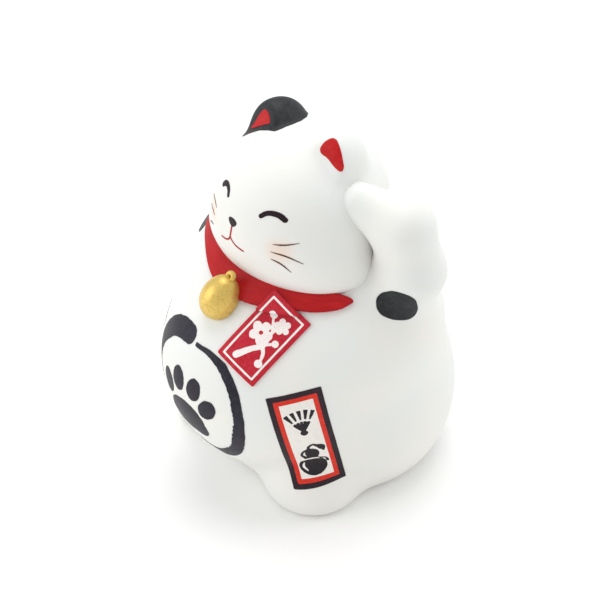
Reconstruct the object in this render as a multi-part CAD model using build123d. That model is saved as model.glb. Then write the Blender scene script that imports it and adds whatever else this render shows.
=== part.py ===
"""Beckoning cat figurine: slip-cast ceramic castings, a sprigged bell and plaque, and fired colour.

Millimetres, +Z up, the cat faces -Y and its raised left arm is on +X. The origin is the centre of
the base, on the surface that the figurine stands on.

Every casting is a soft egg-like form, written as a signed distance. A solid is lofted through level
outlines of that form, and a raised or painted layer is what lies between the form and the same form
grown by the layer's thickness.
"""
from build123d import *
from math import atan2, cos, degrees, hypot, pi, radians, sin, sqrt
import os

# ---- driving dimensions -------------------------------------------------------------------------
WALL = 3.0                      # thickness of the cast ceramic wall
PAINT = 0.2                     # thickness of a fired colour layer or transfer
SECOND_PAINT = 0.12             # thickness of a thin or a second colour
RAISED_PAINT = 0.32             # height of a brush line that crosses the blush

LOWER_EGG = ((0, 4.9, 21.1), (47.0, 42.0, 42.1))
UPPER_EGG = ((0, 0.9, 58.0), (45.6, 35.2, 31.8))
BELLY = ((0, -16.6, 40.6), (35.8, 35.8, 35.8))
FOOT = ((23.9, -20.3, 6.3), (16.4, 16.4, 16.4))
TORSO_TOP = 84.0                # flat top of the torso casting, hidden inside the head
BASE_ROUND = 4.0

HEAD_CENTRE = (0, -3.7, 97.0)
HEAD_TURN = 2.9                 # degrees, towards the raised arm
HEAD_NOD = -4.5                 # degrees
CRANIUM = (HEAD_CENTRE, (25.7, 26.7, 22.0))
JOWL = ((0, -8.0, 83.0), (29.6, 18.4, 12.4))
EAR_CENTRE = (12.3, -3.9, 112.0)
EAR_RADII = (8.0, 11.2, 11.1)
EAR_FACE = (0.18, -0.94, 0.28)  # the way the cut front of an ear looks, outwards and ahead
EAR_FACE_REACH = 43.8           # how far ahead that cut lies, measured from the origin
EAR_EDGE = 3.0

ARM = (((26.9, 4.8, 59.4), 12.5), ((36.6, 6.7, 83.9), 9.7), ((34.6, 4.4, 99.2), 8.8), ((23.0, -2.4, 105.6), 5.6))
TAIL = (((0, 42.0, 8.0), 6.5), ((1.5, 44.5, 17.0), 5.5), ((5.0, 43.5, 26.0), 4.2))

BASE_FLOOR = 4.0
BASE_VENT_RADIUS = 5.0
BASE_VENT_BACK = 15.0           # the firing vent lies behind the centre of the base
INNER_VENT_RADIUS = 3.0

COLLAR_THICKNESS = 1.8
COLLAR_EDGE_HEIGHT = 82.0       # height of the collar's lower edge above the cat's centre line
COLLAR_EDGE_SLOPE = 0.188       # it falls towards the chest

BELL_CENTRE = (0, -36.9, 74.6)
BELL_RADII = (5.8, 5.6, 7.3)
BELL_TILT = 25.0                # degrees from upright, mouth towards the chest's foot
BELL_LOOP_OUTER = 2.3
BELL_LOOP_HOLE = 0.9

TAG_CENTRE = (17.5, -34.3, 67.9)
TAG_SHORT_SIDE = 15.0
TAG_LONG_SIDE = 26.0
TAG_THICKNESS = 0.9
TAG_MARGIN = 1.3
TAG_LINE = 0.6

LABEL_CENTRE = (32.2, -30.3, 34.0)
LABEL_WIDTH = 17.0
LABEL_HEIGHT = 40.5
LABEL_OUTER_FRAME = 1.7
LABEL_INNER_FRAME = 1.4

RING_CENTRE = (0, -62, 40.0)
RING_RADIUS = 20.8
RING_STROKE = 3.3

LEVELS = 15                     # outlines in a lofted form
OUTLINE_POINTS = 36


# ---- forms --------------------------------------------------------------------------------------
def egg(point, centre, radii):
    """Signed distance, nearly, to an ellipsoid."""
    scaled = sqrt(sum(((p - c) / r) ** 2 for p, c, r in zip(point, centre, radii)))
    slope = sqrt(sum(((p - c) / r ** 2) ** 2 for p, c, r in zip(point, centre, radii)))
    if slope < 1e-9:
        return -min(radii)
    return scaled * (scaled - 1) / slope


def limb(point, start, end, start_radius, end_radius):
    """Signed distance, nearly, to a rod whose radius changes evenly between two balls."""
    along = [e - s for s, e in zip(start, end)]
    out = [p - s for p, s in zip(point, start)]
    share = sum(a * o for a, o in zip(along, out)) / sum(a * a for a in along)
    share = min(1.0, max(0.0, share))
    gap = sqrt(sum((o - share * a) ** 2 for a, o in zip(along, out)))
    return gap - (start_radius + share * (end_radius - start_radius))


def blend(a, b, width):
    """Join two forms with a soft valley between them."""
    reach = max(width - abs(a - b), 0) / width
    return min(a, b) - reach ** 3 * width / 6


def carve(a, b, width):
    """Keep what two forms share, with a soft edge between them."""
    return -blend(-a, -b, width)


def turned(point, turn=HEAD_TURN, nod=HEAD_NOD):
    """A point of the cat's space, seen from the head's own axes."""
    x, y, z = (p - c for p, c in zip(point, HEAD_CENTRE))
    a, b = radians(turn), radians(nod)
    x, y = x * cos(a) + y * sin(a), -x * sin(a) + y * cos(a)
    y, z = y * cos(b) + z * sin(b), -y * sin(b) + z * cos(b)
    return x + HEAD_CENTRE[0], y + HEAD_CENTRE[1], z + HEAD_CENTRE[2]


def placed(point):
    """A point given in the head's own axes, in the cat's space."""
    x, y, z = (p - c for p, c in zip(point, HEAD_CENTRE))
    a, b = radians(HEAD_TURN), radians(HEAD_NOD)
    y, z = y * cos(b) - z * sin(b), y * sin(b) + z * cos(b)
    x, y = x * cos(a) - y * sin(a), x * sin(a) + y * cos(a)
    return x + HEAD_CENTRE[0], y + HEAD_CENTRE[1], z + HEAD_CENTRE[2]


def torso_form(point):
    x, y, z = point
    form = blend(egg(point, *LOWER_EGG), egg(point, *UPPER_EGG), 26)
    form = blend(form, egg(point, *BELLY), 16)
    form = blend(form, egg((abs(x), y, z), *FOOT), 8)
    return carve(form, -z, BASE_ROUND)


def head_form(point):
    own = turned(point)
    return blend(egg(own, *CRANIUM), egg(own, *JOWL), 18)


def ear_form(side):
    """A low mound on the crown, cut flat in front."""
    def form(point):
        x, y, z = turned(point)
        x *= side
        ahead = x * EAR_FACE[0] + y * EAR_FACE[1] + z * EAR_FACE[2]
        return carve(egg((x, y, z), EAR_CENTRE, EAR_RADII), ahead - EAR_FACE_REACH, EAR_EDGE)
    return form


def chain_form(knots, softness):
    def form(point):
        value = 1e9
        for (start, start_radius), (end, end_radius) in zip(knots, knots[1:]):
            value = blend(value, limb(point, start, end, start_radius, end_radius), softness)
        return value
    return form


arm_form = chain_form(ARM, 4)
tail_form = chain_form(TAIL, 3)


# ---- solids lofted through a form ---------------------------------------------------------------
def deepest(form, level, start):
    """The point of a level that lies deepest inside the form, and how deep it lies."""
    x, y = start
    step = 6.0
    value = form((x, y, level))
    while step > 0.05:
        tries = [(form((x + dx, y + dy, level)), x + dx, y + dy)
                 for dx, dy in ((step, 0), (-step, 0), (0, step), (0, -step))]
        best = min(tries)
        if best[0] < value:
            value, x, y = best
        else:
            step /= 2
    return value, x, y


def outline(form, level, start, follow=True):
    """The closed curve where a level cuts the form, drawn round its deepest point or a fixed one."""
    x, y = deepest(form, level, start)[1:] if follow else start
    points = []
    for i in range(OUTLINE_POINTS):
        angle = 2 * pi * i / OUTLINE_POINTS
        near, far = 0.0, 70.0
        for _ in range(26):
            middle = (near + far) / 2
            if form((x + middle * cos(angle), y + middle * sin(angle), level)) < 1e-6:
                near = middle
            else:
                far = middle
        points.append((x + near * cos(angle), y + near * sin(angle), level))
    # the same even parameters on every outline keep the lofted surface light
    parameters = [i / OUTLINE_POINTS for i in range(OUTLINE_POINTS + 1)]
    return Face(Wire([Edge.make_spline(points, periodic=True, parameters=parameters)])), (x, y)


def limit(form, inside, outside, start):
    """The last level, from inside towards outside, at which the form still has a real section."""
    for _ in range(20):
        middle = (inside + outside) / 2
        if deepest(form, middle, start)[0] < -0.12:
            inside = middle
        else:
            outside = middle
    return inside


def cast(form, low, high, middle, start, grow=0.0, levels=LEVELS):
    """Loft a form between two levels, or to where it closes; the outlines crowd where it closes."""
    def grown(point):
        return form(point) - grow
    low = limit(grown, middle, low, start)
    high = limit(grown, middle, high, start)
    faces = []
    for i in range(levels):
        level = (low + high) / 2 - (high - low) / 2 * cos(pi * i / (levels - 1))
        face, start = outline(grown, level, start)
        faces.append(face)
    return loft(faces)


def torso(grow=0.0):
    """The torso form, standing on the base plane and cut flat at the neck."""
    def form(point):
        return torso_form(point) - grow
    levels = [0, 0.4, 1.2, 2.6, 5, 8, 12, 16, 20, 26, 32, 38, 44, 50, 56, 62, 68, 73, 78, 81, TORSO_TOP]
    return loft([outline(form, level, (0, 0), False)[0] for level in levels])


def head(grow=0.0):
    return cast(head_form, 60, 130, 94, (0, -4), grow)


def ear(side, grow=0.0):
    x, y, _ = placed((side * EAR_CENTRE[0], EAR_CENTRE[1], EAR_CENTRE[2]))
    return cast(ear_form(side), 98, 130, 112, (x, y), grow, 11)


def arm(grow=0.0):
    return cast(arm_form, 40, 125, 82, (35, 3), grow)


# ---- castings -----------------------------------------------------------------------------------
def make_torso(outer):
    """Hollow torso with the feet, a flat base, a firing vent and an opening at the neck."""
    def inside(point):
        return carve(torso_form(point) + WALL, BASE_FLOOR - point[2], 3)
    hollow = cast(inside, 0, TORSO_TOP - WALL, 40, (0, 0), 0, 13)
    shell = outer - hollow
    shell -= Pos(0, BASE_VENT_BACK, 0) * Cylinder(BASE_VENT_RADIUS, 3 * BASE_FLOOR)
    shell -= Pos(0, 0, TORSO_TOP) * Cylinder(INNER_VENT_RADIUS * 2, 4 * WALL)
    elbow = Vector(*ARM[0][0])
    wrist = Vector(*ARM[1][0])
    vent = Plane(elbow, z_dir=wrist - elbow) * Cylinder(INNER_VENT_RADIUS, 60)
    return shell - vent


def make_head(outer, torso_solid):
    """Hollow head with both ears, open below where it sits on the torso's shoulders."""
    solid = outer + ear(-1) + ear(1)
    return solid - head(-WALL) - torso_solid


def make_arm(outer, torso_solid, head_solid):
    """Hollow raised arm and paw, open where it is luted to the torso."""
    return outer - arm(-WALL) - torso_solid - head_solid


def tail_solid(grow=0.0):
    return cast(tail_form, 0.5, 40, 16, (0, 42), grow, 9)


def make_tail(torso_solid):
    return tail_solid() - torso_solid


# ---- raised pieces ------------------------------------------------------------------------------
def make_collar(torso_solid, head_solid):
    """A crescent band that lies on the chest under the chin."""
    tilt = degrees(atan2(COLLAR_EDGE_SLOPE, 1))
    above = Pos(0, 0, COLLAR_EDGE_HEIGHT) * Rot(tilt, 0, 0) * Box(
        120, 160, 30, align=(Align.CENTER, Align.MAX, Align.MIN))
    return (torso(COLLAR_THICKNESS) & above) - torso_solid - head_solid


def bell_place():
    return Pos(*BELL_CENTRE) * Rot(-BELL_TILT, 0, 0)


def make_bell(clear_of):
    """Egg-shaped bell with a mouth groove, sprigged onto the collar and the chest."""
    bell = scale(Sphere(1), by=BELL_RADII)
    groove = Pos(0, 0, -BELL_RADII[2] * 0.35) * (Cylinder(BELL_RADII[0] * 1.2, 0.5) - Cylinder(BELL_RADII[0] * 0.86, 0.5))
    return bell_place() * (bell - groove) - clear_of


def make_bell_loop(bell, clear_of):
    """The small flat loop that the bell hangs from."""
    loop = Pos(0, 0, BELL_RADII[2] + BELL_LOOP_OUTER * 0.55) * Rot(90, 0, 0) * (
        Cylinder(BELL_LOOP_OUTER, 1.6) - Cylinder(BELL_LOOP_HOLE, 2))
    return bell_place() * loop - bell - clear_of


# ---- flat motifs, drawn in millimetres about their own centre -----------------------------------
def hair(x0, y0, x1, y1, width):
    """A fine line that swells in the middle and runs out at both ends."""
    length = hypot(x1 - x0, y1 - y0)
    line = Polygon((-length / 2, 0), (0, width / 2), (length / 2, 0), (0, -width / 2), align=None)
    return Pos((x0 + x1) / 2, (y0 + y1) / 2) * Rot(0, 0, degrees(atan2(y1 - y0, x1 - x0))) * line


def stroke(points, width):
    """A brush stroke of even width with round ends, through hand-placed points."""
    path = Spline(*points) if len(points) > 2 else Line(*points)
    body = trace(path, width)
    return body + [Pos(*path.position_at(end)) * Circle(width / 2) for end in (0, 1)]


def frame_motif(width, height, border):
    return Rectangle(width, height) - Rectangle(width - 2 * border, height - 2 * border)


def paw_motif(size):
    """A cat's paw print: one broad pad and four toes."""
    pad = Pos(0, -0.16 * size) * Ellipse(0.30 * size, 0.24 * size)
    toes = [Pos(x * size, y * size) * Rot(0, 0, turn) * Ellipse(0.11 * size, 0.15 * size)
            for x, y, turn in ((-0.36, 0.12, 28), (-0.14, 0.32, 8), (0.14, 0.32, -8), (0.36, 0.12, -28))]
    return pad + toes


def plum_motif(radius):
    """A five-petalled plum blossom with an open middle."""
    petals = [Rot(0, 0, 72 * i + 90) * Pos(radius * 0.60, 0) * Circle(radius * 0.37) for i in range(5)]
    return Sketch() + petals + Circle(radius * 0.4) - Circle(radius * 0.16)


def fan_motif(radius):
    """A half-open folding fan: a ribbed leaf over its pivot."""
    leaf = Circle(radius) - Circle(radius * 0.5)
    wedge = Polygon((0, 0), (radius * 1.5, radius), (0, radius * 2.2), (-radius * 1.5, radius), align=None)
    ribs = [Rot(0, 0, turn) * Pos(0, radius * 0.75) * Rectangle(radius * 0.07, radius * 0.4)
            for turn in (-36, -12, 12, 36)]
    spokes = [Rot(0, 0, turn) * Pos(0, radius * 0.27) * Rectangle(radius * 0.09, radius * 0.5)
              for turn in (-45, -15, 15, 45)]
    return (leaf & wedge) - ribs + spokes + Circle(radius * 0.13)


def gourd_motif(height):
    """A gourd: two round bowls joined at a waist, and a short curled stalk."""
    bowls = Pos(0, -0.22 * height) * Circle(0.27 * height) + Pos(0, 0.16 * height) * Circle(0.18 * height)
    waist = Rectangle(0.2 * height, 0.2 * height)
    stalk = stroke([(0, 0.32 * height), (0.03 * height, 0.42 * height), (0.12 * height, 0.46 * height)],
                   0.07 * height)
    return bowls + waist + stalk


def ring_motif():
    """One round brush stroke: a loaded start, then a ring that runs on round to meet it."""
    ring = Circle(RING_RADIUS + RING_STROKE / 2) - Circle(RING_RADIUS - RING_STROKE / 2)
    gap = Rot(0, 0, 118) * Pos(RING_RADIUS, 0) * Rectangle(3 * RING_STROKE, RING_RADIUS)
    start = [Rot(0, 0, 98 + 8 * i) * Pos(RING_RADIUS, 0) * Circle(4.4 - 0.45 * i) for i in range(7)]
    return (ring - gap) + start


# ---- laying motifs on the castings --------------------------------------------------------------
def facing(centre, right, normal):
    """A drawing plane over a casting's surface, looking back at it."""
    return Plane(origin=centre, x_dir=right, z_dir=normal)


def laid(motif, plane, outer, inner, reach=9.0):
    """What a motif, pressed straight onto the surface, leaves between two grown forms."""
    block = extrude(plane.offset(reach) * motif, 2 * reach, dir=-plane.z_dir)
    return (block & outer) - inner


def mirrored(solid):
    return mirror(solid, about=Plane.YZ)


TAG_PLANE = facing(TAG_CENTRE, (0.905, 0.126, -0.41), (0.383, -0.672, 0.639))
LABEL_PLANE = facing(LABEL_CENTRE, (0.58, 0.80, 0.14), (0.81, -0.58, 0.04))
RING_PLANE = facing(RING_CENTRE, (1, 0, 0), (0, -1, 0))


def face_plane(point, normal):
    """A plane on the face, given in the head's own axes."""
    here = Vector(*placed(point))
    ahead = Vector(*placed(tuple(p + n for p, n in zip(point, normal)))) - here
    across = Vector(0, 0, 1).cross(ahead)
    return Plane(origin=here, x_dir=across, z_dir=ahead)


def save(node, solid):
    os.makedirs("parts", exist_ok=True)
    export_step(Compound(children=list(solid.solids())), f"parts/{node}.step")


def main():
    torso_solid = torso()
    head_outer = head()
    ears = ear(-1) + ear(1)
    arm_outer = arm()
    head_block = head_outer + ears

    save("torso_shell", make_torso(torso_solid))
    save("head_shell", make_head(head_outer, torso_solid))
    save("raised_arm", make_arm(arm_outer, torso_solid, head_block))
    tail = make_tail(torso_solid)
    save("tail", tail)

    collar = make_collar(torso_solid, head_outer) - arm_outer
    save("collar_band", collar)
    bell = make_bell(collar + torso_solid) - head_outer
    save("bell_body", bell)
    save("bell_loop", make_bell_loop(bell, collar) - head_outer - torso_solid)

    torso_paint = torso(PAINT)
    plaque = torso(TAG_THICKNESS)
    plaque_paint = torso(TAG_THICKNESS + SECOND_PAINT)
    tag_outline = Rectangle(TAG_SHORT_SIDE, TAG_LONG_SIDE)
    tag = laid(tag_outline, TAG_PLANE, plaque, torso_solid) - collar - head_outer
    save("charm_tag", tag)
    line = frame_motif(TAG_SHORT_SIDE - 2 * TAG_MARGIN, TAG_LONG_SIDE - 2 * TAG_MARGIN, TAG_LINE)
    save("charm_tag_line", laid(line, TAG_PLANE, plaque_paint, plaque) - collar - head_outer)
    save("charm_tag_blossom", laid(plum_motif(5.0), TAG_PLANE, plaque_paint, plaque))

    save("belly_ring", laid(ring_motif(), RING_PLANE, torso_paint, torso_solid, 38))
    save("belly_paw_print", laid(paw_motif(25), RING_PLANE, torso_paint, torso_solid, 38))

    inner_width = LABEL_WIDTH - 2 * LABEL_OUTER_FRAME
    inner_height = LABEL_HEIGHT - 2 * LABEL_OUTER_FRAME
    ground_width = inner_width - 2 * LABEL_INNER_FRAME
    ground_height = inner_height - 2 * LABEL_INNER_FRAME
    label = {
        "outer_frame": frame_motif(LABEL_WIDTH, LABEL_HEIGHT, LABEL_OUTER_FRAME),
        "inner_frame": frame_motif(inner_width, inner_height, LABEL_INNER_FRAME),
        "fan": Pos(0, 4.8) * fan_motif(5.6),
        "gourd": Pos(0, -8.6) * gourd_motif(13.5),
    }
    label["ground"] = Rectangle(ground_width, ground_height) - label["fan"] - label["gourd"]
    for name, motif in label.items():
        piece = laid(motif, LABEL_PLANE, torso_paint, torso_solid, 12)
        save(f"left_label_{name}", piece)
        save(f"right_label_{name}", mirrored(piece))

    head_thin_paint = head(SECOND_PAINT)
    head_paint = head(PAINT)
    head_lines = head(RAISED_PAINT)
    eye = stroke([(-3.2, -1.0), (0, 0.9), (3.2, -1.4)], 1.3)
    for side, name in ((1, "left"), (-1, "right")):
        flip = eye if side > 0 else mirror(eye, about=Plane.YZ)
        plane = face_plane((side * 9.8, -26.5, 103.6), (side * 0.4, -0.8, 0.42))
        save(f"{name}_eye_line", laid(flip, plane, head_paint, head_outer))

    mouth_plane = face_plane((-1.8, -30.6, 93.2), (0, -1, 0))
    nose = Pos(0.4, 3.4) * (Ellipse(1.25, 0.95) + Pos(0, -0.4) * Circle(0.8))
    save("nose", laid(nose, mouth_plane, head_paint, head_outer))
    mouth = stroke([(0, 1.8), (0, 0)], 0.5)
    for side in (1, -1):
        mouth += stroke([(0, 0), (side * 1.7, -1.4), (side * 4.2, -2.4)], 0.5)
    save("mouth_line", laid(mouth, mouth_plane, head_paint, head_outer) - laid(nose, mouth_plane, head_paint, head_outer))

    for side, name in ((1, "left"), (-1, "right")):
        plane = face_plane((side * 15.6, -25.8, 91.6), (side * 0.57, -0.82, 0.05))
        hairs = Sketch()
        for x0, y0, x1, y1 in ((-3.4, 3.8, 3.8, 5.0), (-4.0, 0.9, 5.9, -1.2), (-4.0, -1.6, 2.5, -4.6)):
            hairs += hair(side * x0, y0, side * x1, y1, 0.45)
        blush = laid(Pos(side * 0.8, 3.0) * Circle(4.6), plane, head_thin_paint, head_outer)
        save(f"{name}_blush", blush)
        save(f"{name}_whiskers", laid(hairs, plane, head_lines, head_outer) - blush)

    for side, name in ((1, "left"), (-1, "right")):
        ear_solid = ear(side)
        plane = face_plane((side * 13.6, -10.5, 117.6), (side * EAR_FACE[0], EAR_FACE[1], EAR_FACE[2]))
        lining = Polygon((4.5, -4.2), (-0.4, 4.3), (-3.4, 0.4), align=None)
        lining = fillet(lining.vertices(), 0.8)
        lining = lining if side > 0 else mirror(lining, about=Plane.YZ)
        red = laid(lining, plane, ear(side, PAINT), ear_solid, 8) - head_outer
        save(f"{name}_ear_lining", red)
        if side < 0:
            cap = ear(side, PAINT) - ear_solid - head_outer - red
            above = Pos(0, 0, 111) * Box(80, 80, 40, align=(Align.CENTER, Align.CENTER, Align.MIN))
            save("right_ear_patch", cap & above)

    spot = Ellipse(6.1, 4.4)
    arm_plane = facing((40.5, -2.4, 77.8), (0.74, 0.64, -0.20), (0.64, -0.76, 0.06))
    save("arm_spot", laid(spot, arm_plane, arm(PAINT), arm_outer, 6) - torso_solid)
    shoulder_plane = facing((-35.0, -13.5, 72.0), (0.4, -0.9, 0.0), (-0.82, -0.36, 0.44))
    save("shoulder_spot", laid(spot, shoulder_plane, torso_paint, torso_solid, 8))
    tail_cap = tail_solid(PAINT) - tail_solid()
    tip = Pos(0, 44, 20) * Box(40, 40, 30, align=(Align.CENTER, Align.CENTER, Align.MIN))
    save("tail_patch", (tail_cap & tip) - torso_solid)


main()
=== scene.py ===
# %% [markdown]
# # A beckoning cat figurine
#
# The figurine is a hollow slip-cast ceramic cat, fired matte white and then decorated: a red collar,
# a gilded bell and a red charm plaque stand proud of the white, and brush lines, labels and patches
# lie flat on it. This lesson builds the soft castings as signed distances, skins them, and lays every
# colour on top as a thin raised layer, so that each colour is a piece of its own.
#
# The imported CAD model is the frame: it gives the sizes and the places, and it is never changed.

# %% The frame
import math

import bpy
import numpy as np
from mathutils import Matrix, Vector


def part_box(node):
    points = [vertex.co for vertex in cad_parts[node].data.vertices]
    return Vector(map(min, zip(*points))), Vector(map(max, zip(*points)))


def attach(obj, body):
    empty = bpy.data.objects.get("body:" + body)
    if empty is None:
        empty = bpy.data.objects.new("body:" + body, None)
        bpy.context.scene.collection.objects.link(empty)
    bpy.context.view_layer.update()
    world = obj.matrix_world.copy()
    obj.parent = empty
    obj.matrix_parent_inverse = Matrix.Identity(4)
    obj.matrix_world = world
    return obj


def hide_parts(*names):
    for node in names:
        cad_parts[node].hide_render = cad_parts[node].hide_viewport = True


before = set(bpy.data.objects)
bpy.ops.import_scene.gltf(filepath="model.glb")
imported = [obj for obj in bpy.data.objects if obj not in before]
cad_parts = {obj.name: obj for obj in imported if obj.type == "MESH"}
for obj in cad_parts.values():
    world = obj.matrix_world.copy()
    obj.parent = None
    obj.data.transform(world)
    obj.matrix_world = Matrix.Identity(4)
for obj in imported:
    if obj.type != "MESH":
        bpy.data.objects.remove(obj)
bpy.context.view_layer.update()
MM = 0.001


def box_of(node):
    """A node's lowest and highest corners, in millimetres."""
    low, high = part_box(node)
    return np.array(low) / MM, np.array(high) / MM


torso_low, torso_high = box_of("torso_shell")
head_low, head_high = box_of("head_shell")
arm_low, arm_high = box_of("raised_arm")
print("torso box", torso_low.round(1), torso_high.round(1))
print("head box", head_low.round(1), head_high.round(1))

# %% [markdown]
# ## The camera
#
# The cat faces -Y with its raised left paw on +X. It is seen from its left front and from well above,
# through a long lens, so the camera stands some 42 cm away. It comes first, because every later
# choice is judged through it. A small shift frames the cat a little off centre.

# %% Camera
VIEW_AZIMUTH = 48.8
VIEW_HEIGHT = 39.8
VIEW_DISTANCE = 0.4242
VIEW_TARGET = (0.0, 0.0, 0.056)
LENS = 79.06
SHIFT = (-0.0203, -0.0137)


def make_camera():
    azimuth, height = math.radians(VIEW_AZIMUTH), math.radians(VIEW_HEIGHT)
    ahead = Vector((math.sin(azimuth), -math.cos(azimuth), 0)) * math.cos(height)
    back = ahead + Vector((0, 0, math.sin(height)))
    data = bpy.data.cameras.new("view_camera")
    data.sensor_width = 36.0
    data.lens = LENS
    data.shift_x, data.shift_y = SHIFT
    data.clip_start = 0.01
    camera = bpy.data.objects.new("view_camera", data)
    bpy.context.scene.collection.objects.link(camera)
    camera.location = Vector(VIEW_TARGET) + back * VIEW_DISTANCE
    camera.rotation_euler = back.to_track_quat("Z", "Y").to_euler()
    bpy.context.scene.camera = camera
    return camera


make_camera()

# %% [markdown]
# ## The castings as forms
#
# A slip-cast cat has no edges: the feet swell out of the belly and the arm grows out of the shoulder.
# Subdivided boxes would need many loops to do that. A signed distance does it with a few eggs and
# rods that melt together, and it also gives the exact place and direction of the surface anywhere,
# which every painted layer needs. All forms here are in millimetres.

# %% Forms


def egg(points, centre, radii):
    """Signed distance, nearly, to an ellipsoid."""
    offset = points - np.array(centre, float)
    radii = np.array(radii, float)
    scaled = np.linalg.norm(offset / radii, axis=-1)
    slope = np.linalg.norm(offset / radii ** 2, axis=-1)
    return scaled * (scaled - 1) / np.maximum(slope, 1e-9)


def rod(points, start, end, start_radius, end_radius):
    """Signed distance to the hull of two balls."""
    start, end = np.array(start, float), np.array(end, float)
    axis = end - start
    length2 = axis @ axis
    fall = start_radius - end_radius
    lean = length2 - fall * fall
    offset = points - start
    y = offset @ axis
    z = y - length2
    x2 = ((offset * length2 - y[..., None] * axis) ** 2).sum(-1)
    y2, z2 = y * y * length2, z * z * length2
    k = np.sign(fall) * fall * fall * x2
    distance = (np.sqrt(np.maximum(x2 * lean / length2, 0)) + y * fall) / length2 - start_radius
    distance = np.where(np.sign(z) * lean * z2 > k, np.sqrt(x2 + z2) / length2 - end_radius, distance)
    return np.where(np.sign(y) * lean * y2 < k, np.sqrt(x2 + y2) / length2 - start_radius, distance)


def chain(points, knots, softness):
    """Rods from ball to ball, melted together."""
    value = np.full(points.shape[:-1], 1e6)
    for (start, start_radius), (end, end_radius) in zip(knots, knots[1:]):
        value = blend(value, rod(points, start, end, start_radius, end_radius), softness)
    return value


def blend(a, b, width):
    """Join two forms with a soft valley between them."""
    reach = np.maximum(width - np.abs(a - b), 0) / width
    return np.minimum(a, b) - reach ** 3 * width / 6


def carve(a, b, width):
    """Keep what two forms share, with a soft edge between them."""
    return -blend(-a, -b, width)


# %% The cat's own measures
HALF_WIDTH = (torso_high[0] - torso_low[0]) / 2
LOWER_EGG = ((0, 4.9, 21.1), (HALF_WIDTH, 42.0, 42.1))
UPPER_EGG = ((0, 0.9, 58.0), (45.6, 35.2, 31.8))
BELLY = ((0, -16.6, 40.6), (35.8, 35.8, 35.8))
FOOT = ((23.9, -20.3, 6.3), (16.4, 16.4, 16.4))
EGG_BLEND, BELLY_BLEND, FOOT_BLEND = 26, 16, 8     # how wide each form melts into the ones before
BASE_ROUND = 4.0

HEAD_CENTRE = np.array((0, -3.7, 97.0))
HEAD_TURN = math.radians(2.9)
HEAD_NOD = math.radians(-4.5)
CRANIUM = (HEAD_CENTRE, (25.7, 26.7, 22.0))
JOWL = ((0, -8.0, 83.0), (29.6, 18.4, 12.4))
EAR = ((12.3, -3.9, 112.0), (8.0, 11.2, 11.1))
EAR_FACE = np.array((0.18, -0.94, 0.28))    # the way the cut front of an ear looks, outwards and ahead
EAR_FACE_REACH = 43.8
JOWL_BLEND, EAR_BLEND = 18, 3

ARM = (((26.9, 4.8, 59.4), 12.5), ((36.6, 6.7, 83.9), 9.7),
       ((34.6, 4.4, 99.2), 8.8), ((23.0, -2.4, 105.6), 5.6))
TAIL = (((0, 42.0, 8.0), 6.5), ((1.5, 44.5, 17.0), 5.5), ((5.0, 43.5, 26.0), 4.2))
ARM_BLEND, TAIL_BLEND = 7, 3
LUTE = 11.0                     # how wide the clay is smoothed where the arm is luted on

HEAD_AXES = np.array(Matrix.Rotation(HEAD_TURN, 3, "Z") @ Matrix.Rotation(HEAD_NOD, 3, "X"))


def from_head(point):
    """A point or direction's place, given in the head's own axes."""
    return (np.array(point, float) - HEAD_CENTRE) @ HEAD_AXES.T + HEAD_CENTRE


def torso_form(points):
    paired = points.copy()
    paired[..., 0] = np.abs(paired[..., 0])
    form = blend(egg(points, *LOWER_EGG), egg(points, *UPPER_EGG), EGG_BLEND)
    form = blend(form, egg(points, *BELLY), BELLY_BLEND)
    form = blend(form, egg(paired, *FOOT), FOOT_BLEND)
    return carve(form, -points[..., 2], BASE_ROUND)


def arm_form(points):
    return chain(points, ARM, ARM_BLEND)


def tail_form(points):
    return chain(points, TAIL, TAIL_BLEND)


def body_form(points):
    """The torso with the arm and the tail luted on."""
    return blend(blend(torso_form(points), arm_form(points), LUTE), tail_form(points), LUTE / 2)


def head_form(points):
    own = (points - HEAD_CENTRE) @ HEAD_AXES + HEAD_CENTRE
    form = blend(egg(own, *CRANIUM), egg(own, *JOWL), JOWL_BLEND)
    own[..., 0] = np.abs(own[..., 0])
    ears = carve(egg(own, *EAR), own @ EAR_FACE - EAR_FACE_REACH, EAR_BLEND)
    return blend(form, ears, EAR_BLEND)


# %% [markdown]
# ## From a form to a mesh
#
# A form is skinned by walking a grid: each cell that the surface passes through gets one vertex, and
# each grid edge that it crosses gets one quad. Every vertex is then moved along the slope of the form
# until it lies on it, and the slope is kept as its normal, so a grid of a millimetre looks smooth.

# %% Skinning


def slope_of(form, points, step=0.02):
    """The outward direction of a form."""
    parts = []
    for axis in np.eye(3) * step:
        parts.append(form(points + axis) - form(points - axis))
    slope = np.stack(parts, -1)
    return slope / np.maximum(np.linalg.norm(slope, axis=-1, keepdims=True), 1e-12)


def settle(form, points, lift=0.0, rounds=4):
    """Move points straight onto a form, or to a height over it."""
    for _ in range(rounds):
        points = points - (form(points) - lift)[..., None] * slope_of(form, points)
    return points


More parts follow.
